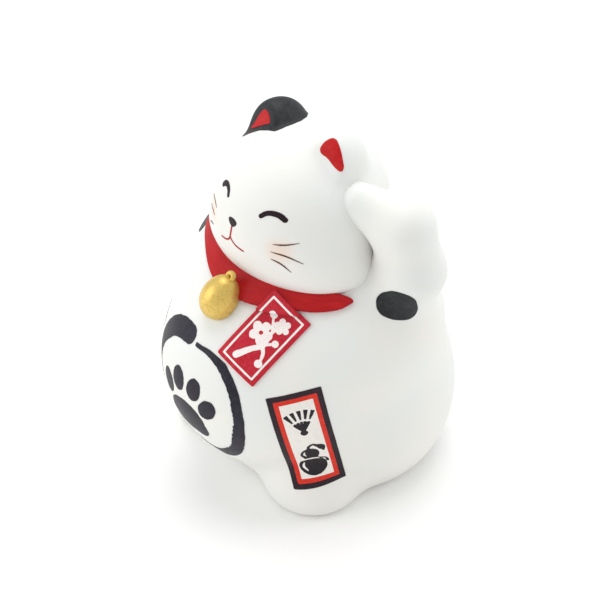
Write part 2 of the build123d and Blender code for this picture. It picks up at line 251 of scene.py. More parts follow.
def skin(form, low, high, cell):
    """Vertices and quads on the surface of a form inside a box."""
    low, high = np.array(low, float), np.array(high, float)
    axes = [low[i] + cell * np.arange(int((high[i] - low[i]) / cell) + 2) for i in range(3)]
    slices = (np.stack(np.meshgrid([x], axes[1], axes[2], indexing="ij"), -1) for x in axes[0])
    value = np.concatenate([form(points) for points in slices])
    inside = value < 0
    count = sum(inside[a:a - 1 or None, b:b - 1 or None, c:c - 1 or None].astype(np.int8)
                for a in (0, 1) for b in (0, 1) for c in (0, 1))
    active = (count > 0) & (count < 8)
    index = np.full(active.shape, -1)
    index[active] = np.arange(active.sum())
    centres = low + cell * (np.argwhere(active) + 0.5)
    quads = []
    for axis in range(3):
        first = np.moveaxis(inside, axis, 0)
        cells = np.moveaxis(index, axis, 0)
        crossing = first[:-1, 1:-1, 1:-1] != first[1:, 1:-1, 1:-1]
        i, j, k = np.nonzero(crossing)
        quad = np.stack([cells[i, j, k], cells[i, j + 1, k], cells[i, j + 1, k + 1], cells[i, j, k + 1]], -1)
        leaving = first[i, j + 1, k + 1]
        flip = leaving if axis != 1 else ~leaving
        quad[~flip] = quad[~flip][:, ::-1]
        quads.append(quad)
    return settle(form, centres), np.concatenate(quads)


made = {}


def piece(name, vertices, faces, normals=None):
    """A mesh object in metres from millimetre vertices."""
    mesh = bpy.data.meshes.new(name)
    mesh.from_pydata((np.asarray(vertices) * MM).tolist(), [], [list(map(int, face)) for face in faces])
    mesh.update()
    mesh.shade_smooth()
    if normals is not None:
        mesh.normals_split_custom_set_from_vertices([tuple(map(float, n)) for n in normals])
    thing = bpy.data.objects.new(name, mesh)
    bpy.context.scene.collection.objects.link(thing)
    made[name] = thing
    return thing


def keep_faces(vertices, quads, keep):
    """The part of a skin that a test keeps, with its own vertices."""
    quads = quads[keep]
    used, faces = np.unique(quads, return_inverse=True)
    return vertices[used], faces.reshape(quads.shape)


def declare(thing, slot, *nodes):
    """Attach a piece to the root and hide the CAD nodes it stands for; the slot is not used."""
    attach(thing, "root")
    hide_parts(*nodes)
    return thing


# %% [markdown]
# ## The white castings
#
# The torso, the raised arm and the tail are one skin where the lute was smoothed, and the skin is
# shared out between the three pieces: a face belongs to the casting that it lies nearest to. The head
# sits on the shoulders with an open crease, so it is skinned alone.

# %% Torso, arm, tail and head
CELL = 1.0
MARGIN = 4.0

tail_high = box_of("tail")[1]
body_low = np.minimum(torso_low, arm_low) - MARGIN
body_high = np.maximum(np.maximum(torso_high, arm_high), tail_high) + MARGIN
vertices, quads = skin(body_form, body_low, body_high, CELL)
centres = vertices[quads].mean(1)
nearest = np.argmin([torso_form(centres), arm_form(centres), tail_form(centres)], axis=0)
CASTINGS = (("torso", "torso_shell"), ("raised_arm", "raised_arm"), ("tail", "tail"))
for index, (name, node) in enumerate(CASTINGS):
    own_vertices, own_quads = keep_faces(vertices, quads, nearest == index)
    casting = piece(name + "_casting", own_vertices, own_quads, slope_of(body_form, own_vertices))
    declare(casting, "white_glaze", node)
    print(name, len(own_quads), "faces")

vertices, quads = skin(head_form, head_low - MARGIN, head_high + MARGIN, CELL * 0.8)
head_casting = piece("head_casting", vertices, quads, slope_of(head_form, vertices))
declare(head_casting, "white_glaze", "head_shell", "left_blush", "right_blush")
print("head", len(quads), "faces")

# %% [markdown]
# ## Colour as thin pieces
#
# Every painted or transferred colour is its own piece. Its outline is drawn flat, in millimetres, as
# a signed shape: circles, boxes and brush strokes joined and cut by plain minimum and maximum. The
# shape is filled with small cells whose edges follow the outline exactly, and then every point is
# pushed straight onto the casting. A low wall round the edge makes the colour a real layer. A decal
# image would need a picture; a shape drawn by rule stays sharp at any distance.

# %% Flat shapes


def disc(u, v, x, y, radius):
    return np.hypot(u - x, v - y) - radius


def oval(u, v, x, y, half_width, half_height, turned=0.0):
    a = math.radians(turned)
    s = (u - x) * math.cos(a) + (v - y) * math.sin(a)
    t = (v - y) * math.cos(a) - (u - x) * math.sin(a)
    scaled = np.hypot(s / half_width, t / half_height)
    slope = np.hypot(s / half_width ** 2, t / half_height ** 2)
    return scaled * (scaled - 1) / np.maximum(slope, 1e-9)


def panel(u, v, width, height, corner=0.0):
    """A rectangle about the middle, with rounded corners."""
    a, b = np.abs(u) - width / 2 + corner, np.abs(v) - height / 2 + corner
    return np.hypot(np.maximum(a, 0), np.maximum(b, 0)) + np.minimum(np.maximum(a, b), 0) - corner


def stroke(u, v, points, widths):
    """A brush stroke through points, each with its own width, round at both ends."""
    value = np.full(np.shape(u), 1e6)
    for (x0, y0), (x1, y1), w0, w1 in zip(points, points[1:], widths, widths[1:]):
        length2 = (x1 - x0) ** 2 + (y1 - y0) ** 2
        share = np.clip(((u - x0) * (x1 - x0) + (v - y0) * (y1 - y0)) / length2, 0, 1)
        gap = np.hypot(u - x0 - share * (x1 - x0), v - y0 - share * (y1 - y0))
        value = np.minimum(value, gap - (w0 + share * (w1 - w0)) / 2)
    return value


def curve(points, steps=12):
    """Points along a smooth line through a few given ones."""
    points = np.array(points, float)
    ends = np.vstack([2 * points[0] - points[1], points, 2 * points[-1] - points[-2]])
    line = []
    for a, b, c, d in zip(ends, ends[1:], ends[2:], ends[3:]):
        for t in np.linspace(0, 1, steps, endpoint=False):
            line.append(0.5 * (2 * b + (c - a) * t + (2 * a - 5 * b + 4 * c - d) * t ** 2
                               + (3 * b - a - 3 * c + d) * t ** 3))
    return line + [points[-1]]


def brushed(u, v, points, widths, steps=12):
    """A stroke along a smooth line, its width running smoothly between the given ones."""
    line = curve(points, steps)
    along = np.linspace(0, len(widths) - 1, len(line))
    return stroke(u, v, line, np.interp(along, range(len(widths)), widths))


def enclosed(u, v, points, steps=8):
    """The inside of a smooth closed line through given points."""
    points = np.array(points, float)
    line = np.array(curve(np.vstack([points, points[:1]]), steps))
    value, inside = np.full(np.shape(u), 1e6), np.zeros(np.shape(u), bool)
    for (x0, y0), (x1, y1) in zip(line, line[1:]):
        length2 = (x1 - x0) ** 2 + (y1 - y0) ** 2
        share = np.clip(((u - x0) * (x1 - x0) + (v - y0) * (y1 - y0)) / length2, 0, 1)
        value = np.minimum(value, np.hypot(u - x0 - share * (x1 - x0), v - y0 - share * (y1 - y0)))
        if y0 != y1:
            inside ^= ((y0 > v) != (y1 > v)) & (u < x0 + (v - y0) * (x1 - x0) / (y1 - y0))
    return np.where(inside, -value, value)


def wobble(u, v, size, seed=0):
    """Smooth noise between -1 and 1 over a plane, with features of about one size."""
    table = np.random.default_rng(seed).uniform(-1, 1, (64, 64))
    s, t = np.asarray(u) / size + 100, np.asarray(v) / size + 100
    i, j = np.floor(s).astype(int), np.floor(t).astype(int)
    s, t = s - i, t - j
    s, t = s * s * (3 - 2 * s), t * t * (3 - 2 * t)
    row = table[i % 64, j % 64] * (1 - s) + table[(i + 1) % 64, j % 64] * s
    next_row = table[i % 64, (j + 1) % 64] * (1 - s) + table[(i + 1) % 64, (j + 1) % 64] * s
    return row * (1 - t) + next_row * t


# %% Filling a shape and laying it on a casting
LAYER = 0.14                    # height of a painted layer over the casting
SUNK = 0.12                     # how far its wall runs down into the casting


class Sheet:
    """A drawing plane over the cat: where its middle is, and which way it looks out."""

    def __init__(self, centre, right, out):
        self.out = np.array(out, float) / np.linalg.norm(out)
        right = np.array(right, float)
        right = right - (right @ self.out) * self.out
        self.right = right / np.linalg.norm(right)
        self.up = np.cross(self.out, self.right)
        self.centre = np.array(centre, float)

    def place(self, u, v):
        return self.centre + np.outer(u, self.right) + np.outer(v, self.up)


def cut(points, faces, value):
    """The part of a mesh where a value is below zero; faces on the line are cut along it."""
    value = np.where(np.abs(value) < 1e-5, -1e-5, value)
    kept, places, cut_faces = {}, [], []

    def place(key, make):
        if key not in kept:
            kept[key] = len(places)
            places.append(make())
        return kept[key]

    lowest = value[faces].min(axis=1)
    for face in faces[lowest < 0]:
        ring = [int(index) for index in face]
        corners = []
        for here, there in zip(ring, ring[1:] + ring[:1]):
            a, b = value[here], value[there]
            if a < 0:
                corners.append(place(here, lambda: points[here]))
            if (a < 0) != (b < 0):
                share = a / (a - b)
                crossing = points[here] + share * (points[there] - points[here])
                corners.append(place((min(here, there), max(here, there)), lambda: crossing))
        if len(corners) > 2:
            cut_faces.append(corners)
    return np.array(places), cut_faces


def filled(shape, half_width, half_height, cell):
    """Cells that fill a flat shape up to its outline."""
    nu, nv = int(half_width / cell) + 2, int(half_height / cell) + 2
    us, vs = cell * np.arange(-nu, nu + 1), cell * np.arange(-nv, nv + 1)
    u, v = np.meshgrid(us, vs, indexing="ij")
    index = np.arange(u.size).reshape(u.shape)
    quads = np.stack([index[:-1, :-1], index[1:, :-1], index[1:, 1:], index[:-1, 1:]], -1).reshape(-1, 4)
    return cut(np.stack([u.ravel(), v.ravel()], -1), quads, shape(u.ravel(), v.ravel()))


def layered(name, slot, node, form, top, faces, height):
    """Give a patch of surface a low wall round its edge, and let it stand for its CAD node."""
    normals = slope_of(form, top)
    edges = {(a, b) for face in faces for a, b in zip(face, face[1:] + face[:1])}
    rim = [(a, b) for a, b in edges if (b, a) not in edges]
    rim.sort()
    rim_points = sorted({a for edge in rim for a in edge})
    brow = {a: len(top) + i for i, a in enumerate(rim_points)}
    foot = {a: len(top) + len(rim_points) + i for i, a in enumerate(rim_points)}
    sunk = top[rim_points] - normals[rim_points] * (height[rim_points] + SUNK)[:, None]
    walls = [(brow[b], brow[a], foot[a], foot[b]) for a, b in rim]
    side = np.zeros((len(rim_points), 3))
    for a, b in rim:
        out = np.cross(top[b] - top[a], normals[a])
        side[[brow[a] - len(top), brow[b] - len(top)]] += out / max(np.linalg.norm(out), 1e-9)
    side += 1e-9
    side /= np.linalg.norm(side, axis=1, keepdims=True)
    every = np.vstack([top, top[rim_points], sunk])
    thing = piece(name + "_layer", every, faces + walls, np.vstack([normals, side, side]))
    return declare(thing, slot, node)


def laid(node, slot, shape, sheet, form, half_size, cell=0.35, lift=LAYER, reach=8.0, dome=None):
    """Lay a flat shape on a form as a thin raised layer."""
    points, faces = filled(shape, *half_size, cell)
    start = sheet.place(points[:, 0], points[:, 1]) + sheet.out * reach
    height = np.full(len(points), lift) if dome is None else dome(shape(points[:, 0], points[:, 1]))
    travel = np.zeros(len(points))
    for _ in range(50):
        gap = form(start - travel[:, None] * sheet.out) - height
        travel += np.clip(gap, -2, 2) * 0.9
    return layered(node, slot, node, form, start - travel[:, None] * sheet.out, faces, height)


def dipped(node, slot, region, form, low, high, cell=0.5, lift=LAYER, dome=None):
    """Cover the part of a form inside a region with a raised layer."""
    vertices, quads = skin(lambda points: form(points) - lift, low, high, cell)
    top, faces = cut(vertices, quads, region(vertices))
    height = np.full(len(top), lift) if dome is None else dome(region(top))
    return layered(node, slot, node, form, settle(form, top, height), faces, height)


# %% [markdown]
# ## The belly ring
#
# A loaded brush starts it with a fat wet blob and runs round until it is half dry, so the stroke
# widens, and its inner edge breaks up into hairs on the way down. The middle holds a paw print in
# the same heavy ink.

# %% Belly ring and paw print
BELLY_REACH = 24                # how far the drawing plane is lifted before shapes drop on the belly
belly_sheet = Sheet((0, -62, 40.0), (1, 0, 0), (0, -1, 0))
RING_START = 96                 # degrees, counted from the cat's left side upwards
# how the stroke runs: degrees gone round since its start, its distance from the middle, its width
RING_RUN = ((0, 20.8, 0.9), (13, 21.0, 1.3), (25, 21.6, 1.8), (37, 21.8, 2.6), (50, 21.4, 2.7),
            (63, 20.7, 2.7), (76, 20.1, 2.8), (94, 19.6, 3.0), (116, 19.7, 3.5), (136, 20.6, 3.7),
            (164, 21.6, 4.0), (200, 21.6, 3.9), (245, 20.2, 3.6), (285, 20.4, 2.6), (320, 21.0, 1.2))
RING_BLOB = [(-4.2, 21.7), (-8.4, 21.2), (-12.8, 19.1), (-16.8, 14.9), (-19.8, 9.4), (-20.8, 4.0)]
RING_BLOB_WIDTHS = [5.2, 5.6, 5.5, 5.2, 3.4, 2.0]


def ring_shape(u, v):
    gone = (RING_START - np.degrees(np.arctan2(v, u))) % 360
    turns, radii, widths = zip(*RING_RUN)
    across = np.hypot(u, v) - np.interp(gone, turns, radii)
    dry = np.interp(gone, [0, 60, 110, 360], [0.05, 0.10, 0.28, 0.36])
    hairs = wobble(gone * 0.9, across * 0.25, 0.55, 3) * dry + wobble(gone * 0.35, 0 * u, 1.3, 4) * 0.10
    band = np.abs(across + 0.12 * wobble(gone, 0 * u, 9.0, 5)) - np.interp(gone, turns, widths) / 2
    band = band + np.where(across < 0, hairs, 0.35 * hairs)
    band = np.maximum(band, np.maximum(5 - gone, gone - 318) * 0.3)
    blob = brushed(u, v, RING_BLOB, RING_BLOB_WIDTHS) + 0.10 * wobble(u, v, 0.8, 6)
    return np.minimum(band, blob)


def paw_shape(u, v):
    v = v + 0.6
    pad = oval(u, v, 0, -4.6, 8.0, 6.2)
    pad = blend(pad, oval(u, v, -4.6, -7.0, 4.2, 3.8, 20), 1.5)
    pad = blend(pad, oval(u, v, 4.6, -7.0, 4.2, 3.8, -20), 1.5)
    value = pad
    for x, y, turned in ((-9.4, 3.4, 28), (-3.7, 8.2, 8), (3.7, 8.2, -8), (9.4, 3.4, -28)):
        value = np.minimum(value, oval(u, v, x, y, 2.9, 4.1, turned))
    return value + 0.12 * wobble(u, v, 1.1, 7) + 0.06 * wobble(u, v, 0.4, 8)


laid("belly_ring", "ink_black", ring_shape, belly_sheet, body_form, (26, 28), 0.3, LAYER, BELLY_REACH)
laid("belly_paw_print", "ink_black", paw_shape, belly_sheet, body_form, (15, 15), 0.35, LAYER, BELLY_REACH)
print("belly ring and paw print laid")

# %% [markdown]
# ## The flank labels
#
# Each flank has an upright label, printed as a transfer: a dark aubergine frame, an orange-red frame
# inside it and an off-white ground with two black motifs, a half-open fan over a gourd.

# %% Flank labels
LABEL_WIDTH, LABEL_HEIGHT = 17.0, 40.5
OUTER_FRAME, INNER_FRAME = 1.75, 1.5
LABEL_LIFT = 0.12
MOTIF_SHRINK = 0.88             # the motifs are drawn a little smaller than they are laid
LABEL_MIDDLE = ((32.2, -30.3, 34.0), (0.57, 0.80, 0.20), (0.81, -0.58, 0.04))


def label_panel(u, v, inset):
    return panel(u, v, LABEL_WIDTH - 2 * inset, LABEL_HEIGHT - 2 * inset) + 0.03 * wobble(u, v, 3.0, 9)


def outer_frame(u, v):
    return np.maximum(label_panel(u, v, 0), -label_panel(u, v, OUTER_FRAME))


def inner_frame(u, v):
    return np.maximum(label_panel(u, v, OUTER_FRAME), -label_panel(u, v, OUTER_FRAME + INNER_FRAME))


def fan_shape(u, v):
    """A half-open fan: a pleated leaf with a fretted edge, over its sticks and pivot."""
    v = v - 1.2
    angle = np.degrees(np.arctan2(u, v))
    reach = np.hypot(u, v)
    leaf = np.maximum(np.maximum(reach - 8.2, 4.0 - reach), (np.abs(angle) - 35) * 0.1)
    pleat = np.abs((angle + 35) % 14 - 7)
    slits = np.maximum(0.36 - np.abs((angle + 42) % 14 - 7) * reach * math.pi / 180, 5.0 - reach)
    leaf = np.maximum(leaf, slits)
    sticks = np.maximum(np.maximum(reach - 4.4, -reach), pleat * reach * math.pi / 180 - 0.42)
    sticks = np.maximum(sticks, (np.abs(angle) - 36) * 0.1)
    return np.minimum(np.minimum(leaf, sticks), disc(u, v, 0, 0, 1.05)) + 0.05 * wobble(u, v, 0.7, 10)


def gourd_shape(u, v):
    """A gourd with a cord round its waist, a curled stalk and a leaf."""
    bowls = blend(oval(u, v, 0, -3.0, 3.9, 3.6), oval(u, v, 0, 2.3, 2.6, 2.5), 1.2)
    shine = brushed(u, v, [(-2.3, -1.6), (-2.7, -3.2), (-1.9, -4.8)], [0.35, 0.8, 0.35])
    shine = np.minimum(shine, brushed(u, v, [(-1.3, 3.3), (-1.6, 2.4), (-1.2, 1.5)], [0.3, 0.6, 0.3]))
    cord = np.abs(v + 0.05 + 0.05 * u * u) - 0.28
    bowls = np.maximum(np.maximum(bowls, -shine), -cord)
    stalk = brushed(u, v, [(0, 4.4), (0.2, 5.6), (1.4, 6.3), (2.4, 5.8)], [1.0, 0.9, 0.8, 0.6])
    leaf = brushed(u, v, [(2.0, 5.9), (3.6, 4.6), (4.0, 2.9)], [0.8, 2.1, 0.5])
    tassel = brushed(u, v, [(2.2, -0.2), (3.8, -0.7), (4.3, -2.0)], [0.6, 0.55, 0.8])
    return np.minimum.reduce([bowls, stalk, leaf, tassel]) + 0.05 * wobble(u, v, 0.7, 11)


def label_fan(u, v):
    return fan_shape(u * MOTIF_SHRINK, (v - 3.4) * MOTIF_SHRINK) / MOTIF_SHRINK


def label_gourd(u, v):
    return gourd_shape((u + 0.4) * MOTIF_SHRINK, (v + 8.9) * MOTIF_SHRINK) / MOTIF_SHRINK


def label_ground(u, v):
    motif = np.minimum(label_fan(u, v), label_gourd(u, v))
    return np.maximum(label_panel(u, v, OUTER_FRAME + INNER_FRAME), -motif)


for side, name in ((1, "left"), (-1, "right")):
    centre, right, out = (np.array(part) * (side, 1, 1) for part in LABEL_MIDDLE)
    sheet = Sheet(centre, right * side, out)
    half = (LABEL_WIDTH / 2 + 1, LABEL_HEIGHT / 2 + 1)
    for part, slot, shape, cell in (
            ("outer_frame", "label_aubergine", outer_frame, 0.4),
            ("inner_frame", "label_orange_red", inner_frame, 0.4),
            ("ground", "label_white", label_ground, 0.25),
            ("fan", "label_ink", label_fan, 0.25),
            ("gourd", "label_ink", label_gourd, 0.25)):
        laid(f"{name}_label_{part}", slot, shape, sheet, body_form, half, cell, LABEL_LIFT, 12)
print("labels laid")

# %% [markdown]
# ## The collar
#
# The collar is modelled on the chest as a flat band, nearly two millimetres thick, that shows under
# the chin and runs out to a point by the raised arm. Its lower edge is cut exactly and then rounded
# by lowering the band towards it.

# %% Collar
COLLAR_THICKNESS = 1.8
COLLAR_ROUND = 0.9              # how much of the thickness is rounded off at the edge
EDGE_HEIGHT, EDGE_SLOPE = 82.0, 0.188
SAG_DEPTH, SAG_MIDDLE, SAG_WIDTH = 1.2, -19, 6
TIP_FRONT, TIP_HEIGHT, TIP_BLUNTNESS = -12.1, 79.8, 1.25


def collar_edge(points):
    """How far below the collar's lower edge a point lies."""
    y, z = points[..., 1], points[..., 2]
    sag = SAG_DEPTH * np.exp(-((y - SAG_MIDDLE) / SAG_WIDTH) ** 2)
    tip = np.where(points[..., 0] > 0, y - TIP_FRONT + TIP_BLUNTNESS * (z - TIP_HEIGHT) ** 2, -9.0)
    return np.maximum(EDGE_HEIGHT + EDGE_SLOPE * y - sag - z, np.clip(0.5 * tip, -9, 9))


def collar_dome(inside):
    """The band's height over the chest: full, and rounded down at the edge."""
    edge = np.clip(1 + inside / COLLAR_ROUND, 0, 1)
    return COLLAR_THICKNESS - COLLAR_ROUND * (1 - np.sqrt(np.maximum(1 - edge ** 2, 0)))


def collar_region(points):
    """Above the edge line, but not far inside the head or the arm."""
    hidden = np.maximum(-1.2 - head_form(points), -1.2 - arm_form(points))
    return np.maximum.reduce([collar_edge(points), hidden, points[..., 2] - collar_high[2]])


collar_low, collar_high = box_of("collar_band")
dipped("collar_band", "collar_red", collar_region, torso_form, collar_low - 3, collar_high + 3, 0.5,
       COLLAR_THICKNESS, collar_dome)
print("collar laid")


def chest_form(points):
    """The body with the collar on, for what lies over both."""
    band = carve(torso_form(points) - COLLAR_THICKNESS, collar_edge(points), 1)
    return blend(body_form(points), band, 1.5)


# %% [markdown]
# ## The charm plaque
#
# The plaque is a slab of clay under a millimetre thick. It was pressed on over the collar's edge while
# soft, so it follows the step, has soft edges and throws a small shadow. It is covered in red, with a
# fine white line along the edge and a white plum spray where the real ones carry a lucky word.

# %% Charm plaque
TAG_SHORT, TAG_LONG = 15.0, 26.0
TAG_THICKNESS = 0.9
TAG_MARGIN, TAG_LINE = 1.35, 0.62
WHITE_OVER_RED = 0.07
tag_sheet = Sheet((17.5, -34.3, 67.9), (0.905, 0.126, -0.41), (0.383, -0.672, 0.639))


def tag_shape(u, v):
    return panel(u, v, TAG_SHORT, TAG_LONG, 0.35)


def tag_dome(inside):
    """The slab's height over the chest: full, and lower along the edge."""
    edge = np.clip(1 + inside / 0.5, 0, 1)
    return TAG_THICKNESS - 0.28 * edge ** 2


def tag_line(u, v):
    outer = panel(u, v, TAG_SHORT - 2 * TAG_MARGIN, TAG_LONG - 2 * TAG_MARGIN)
    return np.maximum(outer, -(outer + TAG_LINE)) + 0.03 * wobble(u, v, 1.5, 12)


def plum(u, v, x, y, radius, turned):
    """A plum blossom with five round petals and a dotted heart."""
    petals = []
    for i in range(5):
        a = math.radians(turned + 72 * i)
        petal_x, petal_y = x + radius * 0.60 * math.cos(a), y + radius * 0.60 * math.sin(a)
        petals.append(disc(u, v, petal_x, petal_y, radius * 0.36))
    bloom = np.minimum(np.minimum.reduce(petals), disc(u, v, x, y, radius * 0.42))
    return np.maximum(bloom, -disc(u, v, x, y, radius * 0.17))


def plum_spray(u, v):
    """A twig with one open blossom, one smaller one and three buds."""
    twig = brushed(u, v, [(-2.6, -9.2), (-0.6, -5.0), (1.6, -1.2), (0.9, 3.2), (2.2, 7.6)],
                   [2.1, 1.7, 1.4, 1.1, 0.8])
    branch = brushed(u, v, [(1.4, -1.6), (3.2, -3.2), (4.2, -5.6)], [1.3, 1.1, 0.8])
    value = np.minimum(twig, branch)
    value = np.minimum(value, plum(u, v, -1.5, 0.9, 3.9, 90))
    value = np.minimum(value, plum(u, v, 2.0, 6.6, 2.7, 60))
    for x, y, r in ((4.2, -6.4, 1.25), (-2.4, 7.4, 1.15), (3.9, 1.4, 1.1)):
        value = np.minimum(value, disc(u, v, x, y, r))
    value = np.minimum(value, brushed(u, v, [(0.9, 3.4), (-0.8, 5.4), (-2.3, 7.2)], [1.0, 0.8, 0.7]))
    value = np.minimum(value, brushed(u, v, [(1.6, -1.0), (3.0, 0.4), (3.9, 1.4)], [1.0, 0.8, 0.7]))
    return value + 0.07 * wobble(u, v, 0.8, 13)


laid("charm_tag", "tag_red", tag_shape, tag_sheet, chest_form, (8.5, 14), 0.3, TAG_THICKNESS, 10, tag_dome)
for name, shape in (("charm_tag_line", tag_line), ("charm_tag_blossom", plum_spray)):
    laid(name, "tag_white", shape, tag_sheet, chest_form, (8, 14), 0.22, TAG_THICKNESS + WHITE_OVER_RED, 10)
print("plaque laid")

# %% [markdown]
# ## The face
#
# The face is drawn with a fine brush: two arched eyes that smile shut, a drop of a nose, a thin red
# mouth and three hairs on each cheek. It is laid out in the head's own axes, seen straight from the
# front, so that turning the head would carry the face with it.

# %% Face
EYE_WIDTH = 1.35
MOUTH_WIDTH = 0.55
HAIR_WIDTHS = [0.12, 0.5, 0.42, 0.1]
BRUSH_LIFT = 0.1
face_sheet = Sheet(from_head((0, -34, 97)), HEAD_AXES @ (1, 0, 0), HEAD_AXES @ (0, -1, 0))


def left_eye(u, v):
    return brushed(u, v, [(7.9, 5.8), (9.2, 6.9), (10.9, 7.3), (12.8, 7.0), (14.3, 6.1)],
                   [EYE_WIDTH, EYE_WIDTH * 1.05, EYE_WIDTH * 1.1, EYE_WIDTH]) + 0.03 * wobble(u, v, 0.7, 20)


def right_eye(u, v):
    return brushed(u, v, [(-5.6, 6.2), (-6.2, 7.5), (-7.6, 8.3), (-9.0, 8.1), (-9.8, 7.3)],
                   [EYE_WIDTH * 0.8, EYE_WIDTH, EYE_WIDTH * 1.1, EYE_WIDTH]) + 0.03 * wobble(u, v, 0.7, 21)


def nose_shape(u, v):
    return enclosed(u, v, [(-1.3, -1.7), (-0.1, -0.8), (0.4, 0.3), (-0.4, 1.1),
                           (-2.0, 1.3), (-3.1, 0.7), (-2.7, -0.7)])


def mouth_shape(u, v):
    lines = (((-1.5, -1.2), (-1.8, -3.0), (-2.4, -5.5)),
             ((-2.4, -5.6), (-3.2, -7.0), (-4.8, -8.1), (-7.4, -8.7)),
             ((-2.4, -5.6), (-1.6, -6.9), (0.2, -7.9), (2.9, -8.3)))
    value = np.minimum.reduce([brushed(u, v, line, [MOUTH_WIDTH] * 2) for line in lines])
    return np.maximum(value, -nose_shape(u, v))


def left_hairs(u, v):
    lines = (((12.6, -1.8), (15.6, -1.3), (18.8, -0.2)), ((12.2, -4.5), (16.2, -5.0), (20.4, -6.8)),
             ((12.2, -7.0), (15.0, -8.0), (17.8, -10.2)))
    return np.minimum.reduce([brushed(u, v, line, HAIR_WIDTHS) for line in lines])


def right_hairs(u, v):
    lines = (((-10.9, -0.8), (-12.6, 0.2), (-15.4, 0.9)), ((-12.5, -4.5), (-14.8, -4.1), (-17.6, -4.2)),
             ((-14.2, -9.2), (-16.0, -9.7), (-18.4, -10.8)))
    return np.minimum.reduce([brushed(u, v, line, HAIR_WIDTHS) for line in lines])


for node, slot, shape, half, cell in (
        ("left_eye_line", "face_black", left_eye, (17, 11), 0.22),
        ("right_eye_line", "face_black", right_eye, (14, 12), 0.22),
        ("nose", "face_black", nose_shape, (4, 3), 0.2),
        ("mouth_line", "mouth_red", mouth_shape, (9, 10), 0.12),
        ("left_whiskers", "whisker_brown", left_hairs, (22, 12), 0.11),
        ("right_whiskers", "whisker_brown", right_hairs, (22, 12), 0.11)):
    laid(node, slot, shape, face_sheet, head_form, half, cell, BRUSH_LIFT, 4)
print("face laid")

# %% [markdown]
# ## Ear linings and the black patches
#
# The linings are small rounded triangles that point down and out. The right ear was dipped in black
# before its lining went on. A black spot sits on the raised arm and another on the right shoulder, and
# the tail was dipped too.

# %% Linings and patches
LINING = {
    1: [(-2.0, 2.1), (-1.5, 3.8), (-0.4, 5.4), (0.8, 6.2), (2.2, 5.9), (3.7, 4.5), (5.1, 2.4), (6.3, -0.2),
        (6.4, -1.5), (5.8, -2.0), (4.1, -1.4), (1.0, 0.4), (-1.2, 1.0)],
    -1: [(4.0, -3.9), (3.2, -1.7), (2.4, 1.0), (1.4, 3.2), (0.3, 4.1), (-1.2, 4.0), (-2.5, 3.1), (-3.5, 1.6),
         (-1.6, 0.2), (1.0, -1.8)]}
EAR_DIP = [(-17.3, -12.2), (-15.7, -11.8), (-13.7, -11.2), (-11.0, -10.4), (-6.5, -9.7), (-5.3, -8.2),
           (-4.8, -5.5), (-4.4, -2.8), (-5.0, 0.8), (-7.2, 4.6), (-10.0, 6.6), (-14.5, 6.8), (-18.6, 3.6),
           (-21.5, -3.0), (-21.5, -9.0)]
EAR_DIP_FOOT, TAIL_DIP_FOOT = 108, 20.2
ARM_SPOT = [(-5.5, 2.5), (-2.4, 5.1), (1.5, 5.6), (4.4, 4.2), (6.0, 0.8), (6.2, -2.3),
            (4.8, -4.1), (2.0, -4.5), (-1.0, -4.2), (-4.0, -3.4), (-5.7, -1.8), (-6.3, 0.4)]


def lining_sheet(side):
    """The plane of one ear's flat front, in the head's own axes."""
    flip = np.array((side, 1, 1))
    across = np.array((0.98, 0.19, 0.0)) * side
    centre = from_head(flip * (13.6, -12.5, 118.0))
    return Sheet(centre, HEAD_AXES @ (flip * across), HEAD_AXES @ (flip * EAR_FACE))


def lining(side):
    return lambda u, v: enclosed(u * side, v, LINING[side]) + 0.04 * wobble(u, v, 0.9, 22 + side)


def ear_dip(points):
    x, y, z = np.moveaxis(points, -1, 0)
    return np.maximum(enclosed(x, y, EAR_DIP) + 0.25 * wobble(x - y, z, 2.5, 24), EAR_DIP_FOOT - z)


def tail_dip(points):
    x, y, z = np.moveaxis(points, -1, 0)
    return TAIL_DIP_FOOT - z + 0.4 * wobble(x - y, x, 2.5, 25)


def arm_spot(u, v):
    return enclosed(u, v, ARM_SPOT) + 0.06 * wobble(u, v, 1.5, 26)


def shoulder_spot(u, v):
    return oval(u, v, 0, 0, 6.0, 4.3) + 0.08 * wobble(u, v, 1.5, 27)


for side, name, lift in ((1, "left", 0.12), (-1, "right", 0.26)):
    laid(name + "_ear_lining", "ear_red", lining(side), lining_sheet(side), head_form, (7, 7), 0.3, lift, 4)
dipped("right_ear_patch", "patch_black", ear_dip, head_form, (-26, -17, 106), (-1, 12, 127))
dipped("tail_patch", "patch_black", tail_dip, body_form, (-4, 36, 18), (14, 52, 34))
arm_sheet = Sheet((40.5, -2.4, 77.8), (0.74, 0.64, -0.20), (0.64, -0.76, 0.06))
shoulder_sheet = Sheet((-35.0, -13.5, 72.0), (0.4, -0.9, 0.0), (-0.82, -0.36, 0.44))
laid("arm_spot", "patch_black", arm_spot, arm_sheet, body_form, (8, 7))
laid("shoulder_spot", "patch_black", shoulder_spot, shoulder_sheet, body_form, (8, 7))
print("patches laid")

# %% [markdown]
# ## Bell and loop
#
# The bell is an egg with a faint pressed groove, and a small tab of a loop joins it to the collar. They
# are forms again, so that their edges melt a little, as sprigged clay does under paint.

# %% Bell and loop
BELL_CENTRE = np.array((0.4, -36.9, 74.6))
BELL_RADII = (5.9, 5.7, 7.5)
BELL_LEAN, BELL_TILT = 12, -25       # degrees: its top leans to the cat's left and back to the chest
lean = Matrix.Rotation(math.radians(BELL_LEAN), 3, "Y")
BELL_AXES = np.array(lean @ Matrix.Rotation(math.radians(BELL_TILT), 3, "X"))
BELL_TAPER = 0.012              # how much narrower the bell gets for each millimetre up
GROOVE_HEIGHT, GROOVE_DEPTH, GROOVE_WIDTH = -1.2, 0.10, 0.30
LOOP_HEIGHT = BELL_RADII[2] + 0.3
LOOP_RADIUS, LOOP_TUBE = 1.05, 0.75


